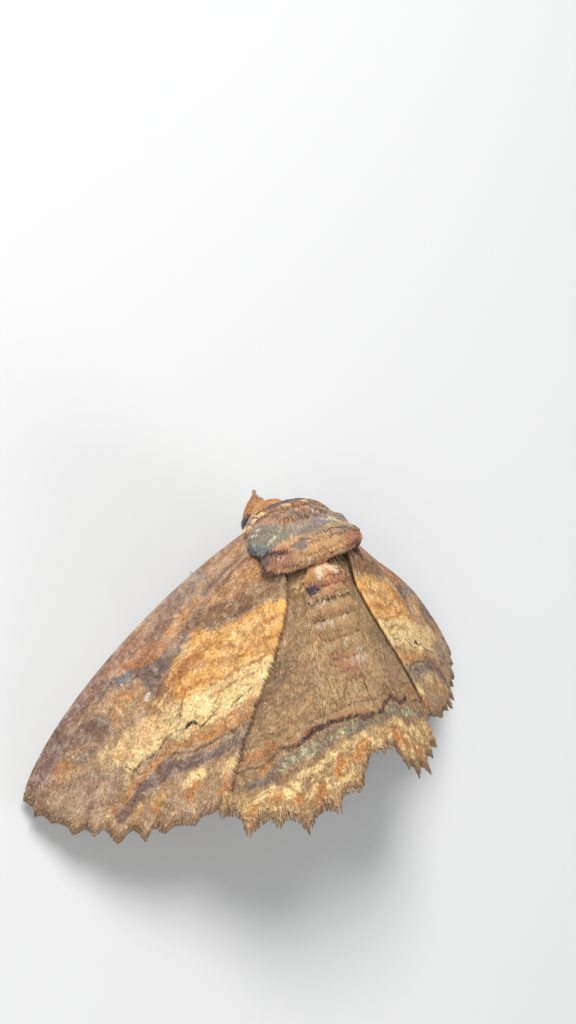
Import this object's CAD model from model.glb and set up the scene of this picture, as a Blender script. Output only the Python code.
"""A lunate zale moth, life size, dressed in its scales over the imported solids.

The script follows the moth as it is put together: the skin of the body, its eyes, feelers and
claws, the coat of the body, then the wings with their scales, hair and fringes, and last the
table that it stands on. Lengths are in millimetres until a piece is finished. Places on the
body are (across, aft, below), as in the part's own source: across from the middle plane, aft of
the wing hinges, and below the line in which the planes of the two pairs of wings would meet.
"""

from math import cos, pi, radians, sin

import bmesh
import bpy
import numpy as np
from mathutils import Matrix, Vector
from mathutils.bvhtree import BVHTree


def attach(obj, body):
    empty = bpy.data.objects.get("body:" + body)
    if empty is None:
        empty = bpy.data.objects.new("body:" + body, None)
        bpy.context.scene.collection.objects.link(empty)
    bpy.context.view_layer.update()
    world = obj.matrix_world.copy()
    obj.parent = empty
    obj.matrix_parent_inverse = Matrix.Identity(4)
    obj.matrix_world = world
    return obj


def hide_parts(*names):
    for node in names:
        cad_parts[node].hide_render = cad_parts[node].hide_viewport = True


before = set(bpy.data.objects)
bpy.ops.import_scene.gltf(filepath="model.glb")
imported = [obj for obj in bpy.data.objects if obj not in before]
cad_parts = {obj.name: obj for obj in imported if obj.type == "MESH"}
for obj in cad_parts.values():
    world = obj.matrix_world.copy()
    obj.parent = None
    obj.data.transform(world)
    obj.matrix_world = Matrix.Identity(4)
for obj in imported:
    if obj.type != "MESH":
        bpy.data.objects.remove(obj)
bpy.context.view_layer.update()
bpy.ops.object.select_all(action="DESELECT")


# ---------------------------------------------------------------- the skin of the body
# On the moth this is a shell of thin brown plates with soft joints, from the lip feelers to the
# tip of the abdomen, legs included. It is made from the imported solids, swollen until they meet,
# melted into one closed skin and drawn in by the depth of the coat.

MM = 0.001
RIDGE_HEIGHT = 14.4      # of the line where the wing planes meet, above the floor
AFT_SHIFT = -7.18        # where the wing hinges lie along Y
MERGE = 0.004            # vertices of a piece that are closer than this are one
FLESH = ("thorax", "collar", "crest", "tuft", "head", "abdomen", "tegula_left", "tegula_right",
         "palp_left", "palp_right", "foreleg_left", "foreleg_right", "midleg_left",
         "midleg_right", "hindleg_left", "hindleg_right")
SWELL = 0.17             # closes the gap of 0.3 between neighbours
SKIN_GRAIN = 0.12        # size of the skin's faces
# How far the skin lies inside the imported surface, which stands for the outside of the coat
BODY_DEPTH = 0.2
LEG_DEPTH = 0.09
OTHER_DEPTHS = {"palp": 0.1, "eye": 0.32, "head": 0.16}
FILL_ROUNDS = 9          # in which the folds of the thorax are filled a little more each time
SPECK_SCALE = 7000.0     # of the fine specks in every finish of scales, about 0.14 apart

PIGMENTS = {
    "tan": (170, 136, 102), "rust": (164, 108, 66), "rosewood": (154, 112, 90),
    "mauve": (128, 108, 102), "umber": (122, 84, 50), "ochre": (196, 148, 94),
    "gold": (224, 168, 92), "cream": (240, 208, 146), "ivory": (238, 206, 150),
    "orange": (184, 120, 58), "slate": (104, 86, 80), "plum": (108, 86, 82),
    "blue": (104, 106, 110), "line": (72, 46, 34), "black": (42, 32, 30),
    "drab": (156, 124, 89), "dusk": (122, 98, 72), "moss": (120, 108, 92),
    "lichen": (186, 186, 146), "brick": (166, 112, 88), "buff": (160, 132, 106),
    "maroon": (64, 38, 36), "straw": (214, 204, 146), "bone": (222, 206, 178),
    "fawn": (150, 118, 90), "bark": (118, 86, 62), "ink": (76, 66, 84),
    "chalk": (214, 208, 196), "dust": (120, 94, 90), "ash": (150, 138, 120),
    "sand": (172, 138, 114), "clay": (196, 144, 98), "sage": (139, 132, 117),
    "steel": (112, 116, 122), "lilac": (110, 92, 98), "walnut": (112, 82, 62),
    "camel": (172, 137, 95), "cocoa": (136, 100, 76), "wheat": (222, 184, 126),
    "heath": (134, 124, 142), "apricot": (200, 156, 114), "amber": (188, 122, 60),
}


def linear(name):
    """A pigment as light: red, green and blue from 0 to 1, without the display's curve."""
    value = np.array(PIGMENTS[name]) / 255.0
    return np.where(value < 0.04045, value / 12.92, ((value + 0.055) / 1.055) ** 2.4)


def only(*pieces):
    """Selects these objects and nothing else, and makes the first the active one."""
    bpy.ops.object.select_all(action="DESELECT")
    for piece in pieces:
        piece.select_set(True)
    bpy.context.view_layer.objects.active = pieces[0]


def linked(name, data):
    """A new object of this data, in the scene."""
    piece = bpy.data.objects.new(name, data)
    bpy.context.collection.objects.link(piece)
    return piece


def finished(piece, kind, **settings):
    """Gives the piece a modifier and applies it."""
    only(piece)
    tool = piece.modifiers.new(kind.lower(), kind)
    for setting, value in settings.items():
        setattr(tool, setting, value)
    bpy.ops.object.modifier_apply(modifier=tool.name)


def cleaned(piece, distance):
    """Merges a mesh's doubles and turns its faces outwards."""
    only(piece)
    bpy.ops.object.mode_set(mode="EDIT")
    bpy.ops.mesh.select_all(action="SELECT")
    bpy.ops.mesh.remove_doubles(threshold=distance)
    bpy.ops.mesh.normals_make_consistent(inside=False)
    bpy.ops.object.mode_set(mode="OBJECT")


def large_copy(node):
    """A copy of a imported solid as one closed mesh, a thousand times its size, to be worked on."""
    piece = linked(node + "_flesh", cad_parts[node].data.copy())
    piece.data.transform(Matrix.Scale(1.0 / MM, 4))
    cleaned(piece, MERGE)
    return piece


def values_of(items, kind, width, number=float):
    """One attribute of a mesh's vertices, corners or triangles, with a row for each of them."""
    values = np.empty(len(items) * width, number)
    items.foreach_get(kind, values)
    return values.reshape(-1, width)


def points_of(mesh, kind="co"):
    return values_of(mesh.vertices, kind, 3)


def move_points(mesh, places):
    mesh.vertices.foreach_set("co", places.ravel())
    mesh.update()


def unit(vectors):
    return vectors / np.maximum(1e-9, np.linalg.norm(vectors, axis=-1, keepdims=True))


def dot(a, b):
    return (a * b).sum(axis=-1)


def ramp(value, low, high):
    """0 below low, 1 above high, and a smooth rise between them."""
    share = np.clip((value - low) / (high - low), 0.0, 1.0)
    return share * share * (3.0 - 2.0 * share)


def ripple(x, y, seed):
    """Smooth noise from 0 to 1, with about one swing for each unit of x and y."""
    left, low = np.floor(x), np.floor(y)
    right, high = x - left, y - low

    def knot(i, j):
        value = np.sin((left + i) * 127.1 + (low + j) * 311.7 + seed * 74.7) * 43758.5453
        return value - np.floor(value)

    across, up = right * right * (3 - 2 * right), high * high * (3 - 2 * high)
    bottom = knot(0, 0) * (1 - across) + knot(1, 0) * across
    top = knot(0, 1) * (1 - across) + knot(1, 1) * across
    return bottom * (1 - up) + top * up


def near_line(x, y, route):
    """How far each place lies from a line through the route's points."""
    best = np.full(np.shape(x), 1e9)
    for (ax, ay), (bx, by) in zip(route, route[1:]):
        run, rise = bx - ax, by - ay
        length = max(1e-9, run * run + rise * rise)
        along = np.clip(((x - ax) * run + (y - ay) * rise) / length, 0.0, 1.0)
        best = np.minimum(best, np.hypot(x - ax - run * along, y - ay - rise * along))
    return best


def painted(x, y, ground, strokes, seed):
    """Colours at places on a plan: a ground colour, then each stroke laid over it in turn.

    A stroke is (pigment, half width, softness, strength, how far it breaks into flecks, route).
    A break of more than 1 leaves few flecks.
    """
    drift = [0.4 * (ripple(x / 1.3, y / 1.3, seed + k) - 0.5) for k in (0, 1)]
    shake = [0.34 * (ripple(x / 0.26, y / 0.26, seed + k) - 0.5) for k in (2, 5)]
    flecks = 0.5 * ripple(x / 0.42, y / 0.3, seed + 3) + 0.5 * ripple(x / 0.15, y / 0.15, seed + 4)
    colours = np.array(ground, float) * np.ones((len(x), 1))
    for number, (pigment, half, soft, strength, broken, route) in enumerate(strokes):
        sway = min(1.0, half / 0.45)
        gap = near_line(x + drift[0] + sway * shake[0], y + drift[1] + sway * shake[1], route)
        reach = ramp((1.0 - gap / half) / soft, 0.0, 1.0)
        rare = 0.3 * max(0.0, broken - 1.0)
        pattern = ramp(flecks if rare else (flecks + number * 0.074) % 1.0, 0.36 + rare, 0.6 + rare)
        broken = min(1.0, broken)
        cover = (reach * strength * (1.0 - broken + broken * pattern))[:, None]
        colours = colours * (1.0 - cover) + linear(pigment) * cover
    return colours


def store(mesh, name, values, kind):
    """Keeps a value for each vertex as an attribute that the material reads."""
    slot = mesh.attributes.new(name, kind, "POINT")
    if kind == "FLOAT_COLOR":
        values = np.hstack([values, np.ones((len(values), 1))])
        slot.data.foreach_set("color", values.astype(np.float32).ravel())
    else:
        slot.data.foreach_set("value", values.astype(np.float32))


def new_finish(name):
    """A new material and its shader."""
    finish = bpy.data.materials.new(name)
    finish.use_nodes = True
    return finish, finish.node_tree.nodes["Principled BSDF"]


def wired(finish, node, inputs, **settings):
    """Sets a shader node up, which is new where only its kind is given. Each value goes to the
    input of its name, and an output of another node is linked to it."""
    tree = finish.node_tree
    if isinstance(node, str):
        node = tree.nodes.new("ShaderNode" + node)
    for setting, value in settings.items():
        setattr(node, setting, value)
    for name, value in inputs.items():
        if isinstance(value, bpy.types.NodeSocket):
            tree.links.new(value, node.inputs[name])
        else:
            node.inputs[name].default_value = value
    return node


def stored(finish, name, output="Fac"):
    """The output of an attribute that store has kept on the mesh."""
    return wired(finish, "Attribute", {}, attribute_name=name).outputs[output]


def scaly(name, grain_from, roughness, sheen, depth, root_shade=0.0, contrast=1.0):
    """The finish of overlapping scales: the stored markings, each scale a little lighter or
    darker than the next, with fine specks, and dull with a faint sheen."""
    finish, shader = new_finish(name)
    mark = stored(finish, "mark", "Color")
    place = wired(finish, "TexCoord", {}).outputs["Object"]
    if grain_from == "tuft":
        grain = stored(finish, "grain")
    else:
        cells = wired(finish, "TexVoronoi", {"Scale": grain_from, "Vector": place})
        grain = cells.outputs["Color"]
    shade = wired(finish, "ValToRGB", {"Fac": grain})
    stops = shade.color_ramp.elements
    for stop, at, tone in zip([*stops, stops.new(0.5), stops.new(0.9)], (0.0, 1.0, 0.5, 0.9),
                              (0.6, 1.4, 0.98, 1.18)):
        stop.position = at
        tone = 1.0 + contrast * (tone - 1.0)
        stop.color = (tone, tone * 0.99, tone * 0.97, 1.0)
    toned = wired(finish, "Mix", {"Factor": 1.0, "A": mark, "B": shade.outputs["Color"]},
                  data_type="RGBA", blend_type="MULTIPLY", clamp_result=False)
    speck = wired(finish, "TexNoise", {"Scale": SPECK_SCALE, "Detail": 3.0, "Vector": place})
    speck = speck.outputs["Fac"]
    fleck = wired(finish, "MapRange", {"From Min": 0.35, "From Max": 0.68, "To Min": 0.82,
                                       "To Max": 1.14, "Value": speck})
    shades = [fleck]
    if root_shade:
        shades.append(wired(finish, "MapRange", {
            "From Max": 0.6, "To Min": 1.0 - root_shade, "To Max": 1.05,
            "Value": stored(finish, "along")}))
    colour = toned.outputs["Result"]
    for shade in shades:
        scaled = wired(finish, "VectorMath", {0: colour, "Scale": shade.outputs["Result"]},
                       operation="SCALE")
        colour = scaled.outputs["Vector"]
    gloss = wired(finish, "MapRange", {"To Min": roughness - 0.1, "To Max": roughness + 0.1,
                                       "Value": speck})
    bump = wired(finish, "Bump", {"Distance": depth * MM, "Strength": 0.5, "Height": speck})
    wired(finish, shader, {
        "Base Color": colour, "Roughness": gloss.outputs["Result"], "Normal": bump.outputs["Normal"],
        "Sheen Weight": sheen, "Sheen Roughness": 0.45, "Sheen Tint": (1.0, 0.9, 0.78, 1.0),
        "Specular IOR Level": 0.3})
    return finish


def dressed(piece, finish):
    """Brings a large piece to its real size, shades it smoothly and gives it its one finish."""
    piece.data.transform(Matrix.Scale(MM, 4))
    only(piece)
    bpy.ops.object.shade_smooth()
    piece.data.materials.clear()
    piece.data.materials.append(finish)


lump_names = (*FLESH, "eye_left", "eye_right")
lumps = [large_copy(node) for node in lump_names]
flesh_verts, flesh_faces, flesh_owner = [], [], []
for owner, lump in enumerate(lumps):
    first = len(flesh_verts)
    flesh_verts.extend(vert.co.copy() for vert in lump.data.vertices)
    flesh_faces.extend([first + k for k in face.vertices] for face in lump.data.polygons)
    flesh_owner.extend([owner] * len(lump.data.polygons))
    finished(lump, "DISPLACE", strength=SWELL, mid_level=0.0)
whose_flesh = BVHTree.FromPolygons(flesh_verts, flesh_faces)
only(*lumps)
bpy.ops.object.join()
body = bpy.context.active_object
body.name = "body_skin"
body.data.name = "body_skin"
finished(body, "REMESH", mode="VOXEL", voxel_size=SKIN_GRAIN)
finished(body, "SMOOTH", factor=0.5, iterations=3)

skin_places = points_of(body.data)
owners = np.array([flesh_owner[whose_flesh.find_nearest(Vector(p))[2]] for p in skin_places])
kinds = np.array([name.split("_")[0] for name in lump_names])[owners]
# The pile bridges the folds between the plates of the thorax, so they are filled in its front
aft = skin_places[:, 1] - AFT_SHIFT
ahead = (1.0 - ramp(aft, 0.5, 1.1)) * ramp(aft, -3.1, -2.7) * ramp(skin_places[:, 2], 10.5, 11.5)
for _ in range(FILL_ROUNDS):
    outwards = points_of(body.data, "normal")
    finished(body, "SMOOTH", factor=0.5, iterations=10)
    hollow = np.maximum(0.0, dot(points_of(body.data) - skin_places, outwards)) * ahead
    skin_places = skin_places + hollow[:, None] * outwards
    move_points(body.data, skin_places)

depth = np.where(np.char.endswith(kinds, "leg"), LEG_DEPTH, BODY_DEPTH)
for kind, own_depth in OTHER_DEPTHS.items():
    depth[kinds == kind] = own_depth

RING_START, RING_LENGTH = 4.35, 1.46   # of the plates of the abdomen
PLATE_STEP = 0.04        # by which each ring of the abdomen stands over the next


def body_plan(places):
    """(across, aft, below) of places in the large frame, as three arrays."""
    return places[:, 0], places[:, 1] - AFT_SHIFT, RIDGE_HEIGHT - places[:, 2]


across, aft, below = body_plan(skin_places)
ring_share = (aft - RING_START) / RING_LENGTH
plate = (ring_share - np.floor(ring_share)) ** 1.6 - 0.45
depth = depth - PLATE_STEP * plate * (kinds == "abdomen")
move_points(body.data, skin_places - points_of(body.data, "normal") * (SWELL + depth)[:, None])
finished(body, "SMOOTH", factor=0.4, iterations=2)
only(body)
bpy.ops.object.mode_set(mode="EDIT")
bpy.ops.mesh.select_all(action="SELECT")
bpy.ops.mesh.normals_make_consistent(inside=False)
bpy.ops.uv.smart_project(angle_limit=radians(66), island_margin=0.004)
bpy.ops.object.mode_set(mode="OBJECT")
body.data.uv_layers[0].name = "unwrap"

GROUNDS = {"thorax": "ash", "collar": "sand", "crest": "apricot", "tuft": "clay", "head": "clay",
           "abdomen": "camel", "tegula": "sage", "palp": "clay", "eye": "black",
           "foreleg": "bark", "midleg": "bark", "hindleg": "bark"}
# Strokes on a plan from above, as (across, aft), the same on both sides
BODY_MARKS = {
    "thorax": (
        ("brick", 0.4, 0.8, 0.7, 0.3, ((1.5, -0.6), (1.75, 0))),
        ("steel", 0.4, 0.7, 0.8, 0.3, ((1.6, 0.3), (2.1, 0.4))),
        ("umber", 0.8, 0.8, 0.7, 0.4, ((1.5, 3.2), (3, 3))),
        ("maroon", 0.5, 0.8, 0.9, 0.4, ((0.3, 2), (1.4, 2.1), (2.6, 2.2))),
        ("bone", 0.6, 0.9, 0.6, 1.7, ((0, -0.6), (2.2, -0.3))),
    ),
    "collar": (
        ("rosewood", 0.45, 0.8, 0.55, 0.3, ((0.8, -2.1), (2.4, -1.95), (4, -1.5))),
        ("ash", 0.4, 0.8, 0.7, 0.3, ((-0.2, -1.5), (0.9, -2.1))),
        ("orange", 0.26, 0.8, 0.7, 0.5, ((0.9, -1.75), (1.5, -1.6))),
        ("orange", 0.2, 0.8, 0.6, 0.6, ((-0.2, -2.2), (0.3, -1.9))),
        ("rust", 0.26, 0.7, 0.75, 0.3, ((0.1, -2.5), (1.1, -2.58), (2, -2.5), (3, -2.1))),
        ("lilac", 0.42, 0.7, 0.95, 0.1, ((0, -2.92), (1.8, -2.86), (2.7, -2.65), (3.5, -2.2),
            (4.3, -1.6))),
        ("maroon", 0.06, 0.7, 0.7, 0.4, ((0.4, -2.42), (1.3, -2.4), (2.2, -2.3), (3.2, -1.9))),
        ("cream", 0.13, 0.7, 1, 1.2, ((0.6, -2.66), (2, -2.55), (3, -2.15), (3.8, -1.8))),
        ("bone", 0.8, 0.9, 0.7, 1.9, ((0.5, -2), (3, -1.5))),
    ),
    "tegula": (
        ("mauve", 0.4, 0.7, 0.6, 0.3, ((2.5, -1.5), (4.2, -1.2))),
        ("steel", 0.42, 0.7, 0.95, 0.05, ((2.8, 0.45), (3.6, 0.3), (4.3, -0.1), (4.7, -0.5))),
        ("ink", 0.24, 0.8, 0.7, 0.1, ((4.75, -0.6), (4.9, -0.1))),
        ("maroon", 0.2, 0.7, 0.9, 0, ((4.95, 0), (4.3, 0.5), (3.4, 0.74))),
        ("straw", 0.16, 0.8, 0.95, 1.25, ((1.9, -0.95), (2.3, -0.72), (2.9, -0.55))),
        ("bone", 0.2, 0.8, 0.8, 1.5, ((2.9, -0.5), (3.8, -0.45))),
        ("bone", 0.12, 0.6, 0.95, 1.4, ((3, -1.6), (4.1, -1.2))),
    ),
    "crest": (
        ("brick", 1, 0.7, 0.85, 0.15, ((2.9, 0.9), (3.9, 1))),
        ("brick", 0.4, 0.8, 0.8, 0.2, ((0.2, 1.9), (1.6, 2), (3.2, 2))),
    ),
    "tuft": (
        ("bone", 0.34, 0.8, 0.9, 0.4, ((0.1, 2.5), (1, 2.6))),
        ("brick", 0.7, 0.8, 0.8, 0.2, ((0, 3.5), (1.6, 3.4))),
        ("maroon", 0.14, 0.7, 0.95, 0.1, ((0, 4.25), (1.2, 4.2), (1.9, 3.9))),
    ),
    "head": (
        ("rust", 0.35, 0.8, 0.4, 0.5, ((0, -3.3), (0.8, -3.2))),
    ),
    "palp": (
        ("bone", 0.4, 0.8, 0.9, 0.1, ((0.55, -4.75), (0.62, -4.45))),
    ),
}
# Strokes that lie on one side or run askew: across is positive on the left
OWN_MARKS = {
    "collar": (
        ("heath", 0.4, 0.8, 0.8, 0.2, ((-1, -1.4), (-2, -1.1))),
        ("ash", 0.6, 0.8, 0.8, 0.3, ((-2.2, -1.8), (-3.9, -1.2))),
        ("bone", 0.14, 0.7, 0.9, 1.2, ((-0.9, -1.9), (-2.2, -1.6))),
    ),
    "thorax": (
        ("heath", 0.45, 0.8, 0.85, 0.2, ((-0.9, -1.1), (-2.3, -0.8))),
        ("mauve", 0.4, 0.8, 0.7, 0.3, ((0.4, -0.4), (-0.8, -0.5))),
        ("bone", 0.16, 0.7, 0.9, 1.4, ((-0.9, -1.3), (-2.4, -0.9))),
    ),
    "tegula": (
        ("straw", 0.2, 0.7, 0.95, 0.9, ((-2.3, -1), (-2.9, -0.7))),
        ("maroon", 0.12, 0.7, 0.9, 0.4, ((-3, -1), (-3.4, -0.8))),
        ("ash", 0.9, 0.9, 0.8, 0.2, ((-3.4, -0.5), (-4.8, -0.2))),
    ),
    "crest": (
        ("orange", 0.7, 0.9, 0.25, 0.4, ((0.2, 1.1), (1, 1))),
        ("camel", 0.4, 0.9, 0.7, 0.3, ((1.4, 0.8), (2.4, 1.1))),
        ("steel", 0.42, 0.8, 0.8, 0.2, ((2, 0.42), (1.5, 0.3))),
        ("ash", 0.4, 0.8, 0.8, 0.3, ((0.8, -0.2), (-0.2, -0.5), (-1.4, -0.3))),
        ("mauve", 0.3, 0.9, 0.6, 0.3, ((-1.1, 0.2), (-2.3, 0.2))),
        ("ash", 0.36, 0.8, 0.85, 0.2, ((-2.2, -0.2), (-3.6, -0.2), (-5.2, 0))),
        ("brick", 0.34, 0.8, 0.8, 0.2, ((-3.4, 0.45), (-5.2, 0.5))),
        ("line", 0.07, 0.7, 0.8, 0.2, ((-1.6, 0.3), (-2.8, 0.12), (-4, 0.16), (-5, 0.3))),
        ("plum", 0.8, 0.5, 0.95, 0, ((4.6, 0.6), (4.9, 1.2), (4.8, 2))),
        ("maroon", 0.3, 0.7, 0.95, 0, ((5.2, 0), (4.5, 0.4), (3.7, 0.55), (2.8, 0.5))),
        ("rosewood", 0.7, 0.9, 0.6, 0.2, ((2.8, 0.9), (4.2, 1.5))),
        ("bone", 0.3, 0.8, 0.8, 1.7, ((3.8, 0.9), (1.4, 1.5))),
        ("maroon", 0.15, 0.8, 0.75, 0.5, ((-5.2, 1.25), (-3, 1.55), (0, 2), (3.6, 2.35))),
    ),
    "tuft": (
        ("ink", 0.5, 0.7, 0.85, 0.05, ((1.2, 3.85), (1.9, 3.5))),
        ("maroon", 0.12, 0.7, 0.8, 0.1, ((-1.3, 2.95), (-0.2, 3))),
        ("ochre", 0.4, 0.8, 0.7, 0.4, ((1.5, 2.7), (2.1, 3))),
    ),
}


def laid(colours, *layers):
    """The colours under more pigments, laid over them in turn: (pigment, how far it covers)."""
    for pigment, cover in layers:
        cover = np.reshape(cover, (-1, 1))
        colours = colours * (1.0 - cover) + linear(pigment) * cover
    return colours


def body_colours(places, kinds, normals):
    """The markings of the body: a ground for each region, its strokes, and rings on the limbs."""
    across, aft, below = body_plan(places)
    colours = np.zeros((len(places), 3))
    for kind, ground in GROUNDS.items():
        here = kinds == kind
        seed = len(kind) + 3
        x, y, z = across[here], aft[here], below[here]
        shade = painted(np.abs(x), y, linear(ground), BODY_MARKS.get(kind, ()), seed)
        shade = painted(x, y, shade, OWN_MARKS.get(kind, ()), seed + 20)
        mottle = 0.5 * ripple(x / 0.5 + z / 0.7, y / 0.4, seed)
        mottle = mottle + 0.5 * ripple(x / 0.16 + z / 0.2, y / 0.2, seed + 1)
        colours[here] = shade * (0.74 + 0.52 * mottle)[:, None]
    wave = (aft - RING_START) / RING_LENGTH + 0.16 * (ripple(across / 0.6, below / 0.6, 5) - 0.5)
    phase = wave - np.floor(wave)
    middle = ramp(2.2 - np.abs(across - 0.5), 0.0, 0.8) * (kinds == "abdomen")
    flow = ramp(ripple(across / 0.45, aft / 0.25, 17), 0.35, 0.65) * middle
    early = 1.0 - 0.6 * ramp(aft, 7.0, 9.0)
    pale = ramp(ripple(across / 0.22, aft / 0.3, 9), 0.5, 0.7) * (1 - ramp(phase, 0.2, 0.55))
    pink = ramp(ripple(across / 0.6, aft / 0.7, 21), 0.4, 0.6) * ramp(aft, 8.0, 9.5) * middle
    shaded = ramp(normals[:, 1], 0.6, 0.8) * ramp(normals[:, 2], 0.75, 0.5)
    rear = ramp(ripple(across / 0.2, aft / 0.24, 27), 0.55, 0.7) * ramp(across, 0.3, -0.2) * middle
    rear = rear * ramp(aft, 7.6, 8.6) * ramp(aft, 11.5, 10.5)
    under = ramp(below, 5.0, 6.6) * np.isin(kinds, ("thorax", "abdomen", "collar"))
    colours = laid(
        colours,
        ("brick", 0.4 * flow * ramp(phase, 0.3, 0.8)),
        ("line", 0.75 * ramp(phase, 0.91, 0.97) * middle * early),
        ("chalk", 0.4 * pale * ramp(across, -1.6, 0.4) * middle),
        ("brick", 0.55 * pink),
        ("maroon", 0.85 * shaded * np.isin(kinds, ("crest", "tuft"))),
        ("chalk", 0.45 * rear),
        ("buff", 0.75 * under),
    )
    for name in LEG_STOPS:
        here = kinds == name
        if here.any():
            share, _ = along_leg(name, places[here])
            band = ramp(np.sin(share * pi * 9.0 - 1.2), 0.45, 0.75)
            band = 0.62 * band * ramp(share, 0.3, 0.4)
            colours[here] = laid(colours[here], ("bone", band))
    return colours


# Each leg: root, knee, ankle and toe as (across, aft, height over the floor)
LEG_STOPS = {
    "foreleg": ((1.3, -1.0, 7.2), (2.9, -0.5, 5.7), (2.6, 1.3, 1.3), (2.2, -0.3, 0.22)),
    "midleg": ((1.6, 0.5, 6.6), (5.3, 1.3, 6.5), (7.7, 3.4, 1.2), (9.6, 5.3, 0.22)),
    "hindleg": ((1.4, 2.0, 6.8), (3.7, 5.0, 6.6), (5.1, 10.3, 1.1), (5.9, 13.5, 0.22)),
}


def along_leg(name, places):
    """How far down its leg each place lies, from 0 at the root to 1 at the toe, and which way
    the leg runs there."""
    stops = np.array(LEG_STOPS[name])
    spots = np.column_stack([np.abs(places[:, 0]), places[:, 1] - AFT_SHIFT, places[:, 2]])
    best = np.full(len(spots), 1e9)
    share, run = np.zeros(len(spots)), np.zeros((len(spots), 3))
    starts = np.concatenate([[0.0], np.cumsum(np.linalg.norm(np.diff(stops, axis=0), axis=1))])
    for index, (a, b) in enumerate(zip(stops, stops[1:])):
        step = b - a
        length = np.linalg.norm(step)
        t = np.clip((spots - a) @ step / length ** 2, 0.0, 1.0)
        gap = np.linalg.norm(spots - a - t[:, None] * step, axis=1)
        nearer = gap < best
        best[nearer] = gap[nearer]
        share[nearer] = (starts[index] + t[nearer] * length) / starts[-1]
        run[nearer] = step / length
    run[:, 0] *= np.sign(places[:, 0])
    return share, run


skin_places = points_of(body.data)
skin_normals = points_of(body.data, "normal")
store(body.data, "mark", body_colours(skin_places, kinds, skin_normals), "FLOAT_COLOR")

# What the coat needs to know of the skin, before the skin goes to its real size
body.data.calc_loop_triangles()
skin_tris = values_of(body.data.loop_triangles, "vertices", 3, int)
skin_loops = values_of(body.data.loop_triangles, "loops", 3, int)
skin_uvs = values_of(body.data.uv_layers[0].data, "uv", 2)[skin_loops]
dressed(body, scaly("body_skin", 9000.0, 0.7, 0.1, 0.05))
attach(body, "root")
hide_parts(*FLESH)


# ---------------------------------------------------------------- eyes
# The compound eyes are the only bare parts of the head: two dark bulging caps of clear horn
# over thousands of tiny lenses, set between the scales of the face and the collar.

EYE_CENTRE = (1.0, -2.27, 6.8)
EYE_RADII = (0.58, 0.72, 0.76)


def spot(side, across, aft, below):
    """A point of the body in the large frame, on the left for a side of 1, on the right for -1."""
    return Vector((side * across, aft + AFT_SHIFT, RIDGE_HEIGHT - below))


eye_finish, eye_shader = new_finish("eye_horn")
eye_place = wired(eye_finish, "TexCoord", {}).outputs["Object"]
lenses = wired(eye_finish, "TexVoronoi", {"Scale": 16000.0, "Randomness": 0.25, "Vector": eye_place},
               feature="DISTANCE_TO_EDGE")
dapple = wired(eye_finish, "TexNoise", {"Scale": 1600.0, "Vector": eye_place})
eye_tone = wired(eye_finish, "ValToRGB", {"Fac": dapple.outputs["Fac"]})
for stop, at, colour in zip(eye_tone.color_ramp.elements, (0.35, 0.7),
                            ((0.006, 0.004, 0.004, 1.0), (0.05, 0.03, 0.018, 1.0))):
    stop.position = at
    stop.color = colour
eye_bump = wired(eye_finish, "Bump", {"Distance": 0.01 * MM, "Strength": 0.6,
                                      "Height": lenses.outputs["Distance"]})
wired(eye_finish, eye_shader, {
    "Roughness": 0.2, "Coat Weight": 0.2, "Coat Roughness": 0.06,
    "Base Color": eye_tone.outputs["Color"], "Normal": eye_bump.outputs["Normal"]})

for side, node in ((1, "eye_left"), (-1, "eye_right")):
    bpy.ops.object.select_all(action="DESELECT")
    bpy.ops.mesh.primitive_ico_sphere_add(subdivisions=5, radius=1.0)
    eye = bpy.context.active_object
    eye.name = node + "_ball"
    eye.data.transform(Matrix.Diagonal((*EYE_RADII, 1.0)))
    eye.data.transform(Matrix.Translation(spot(side, *EYE_CENTRE)))
    dressed(eye, eye_finish)
    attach(eye, "root")
    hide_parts(node)


# ---------------------------------------------------------------- feelers
# Each feeler is a thread of about sixty short rings, paler at the joints, laid back from beside
# the eye under the leading edge of the forewing. The thread is drawn along a smooth curve as a
# tube whose radius swells on every ring.

FEELER_STOPS = ((0.75, -2.8, 5.1), (1.8, -2.6, 5.1), (2.9, -1.6, 5.0), (4.2, 0.2, 5.1),
                (5.4, 2.4, 5.7), (7.0, 4.8, 6.9), (8.8, 7.3, 8.1), (10.0, 8.9, 8.9))
FEELER_RINGS = 64
RING_SWELL = 0.16
FEELER_THICK, FEELER_THIN = 0.17, 0.07


def smooth_route(stops, t):
    """The point at t, from 0 to 1, on a smooth curve through the stops."""
    at = min(t, 0.99999) * (len(stops) - 1)
    index = int(at)
    f = at - index
    ends = [stops[0], *stops, stops[-1]]
    a, b, c, d = (Vector(ends[index + k]) for k in range(4))
    return 0.5 * (2 * b + (c - a) * f + (2 * a - 5 * b + 4 * c - d) * f * f
                  + (3 * b - a - 3 * c + d) * f * f * f)


def drawn_thread(name, stops, radius_at, steps, sides):
    """A closed tube along the stops, whose radius at each step comes from radius_at."""
    curve = bpy.data.curves.new(name, "CURVE")
    curve.dimensions = "3D"
    curve.bevel_depth = 1.0
    curve.bevel_resolution = sides
    curve.use_fill_caps = True
    spline = curve.splines.new("POLY")
    spline.points.add(steps)
    for index, point in enumerate(spline.points):
        t = index / steps
        point.co = (*smooth_route(stops, t), 1.0)
        point.radius = radius_at(t)
    thread = linked(name, curve)
    only(thread)
    bpy.ops.object.convert(target="MESH")
    cleaned(thread, MERGE / 2)
    return thread


def feeler_radius(t):
    swell = 1.0 + RING_SWELL * sin(2 * pi * FEELER_RINGS * t)
    return (FEELER_THICK * (1 - t) + FEELER_THIN * t) * swell


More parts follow.
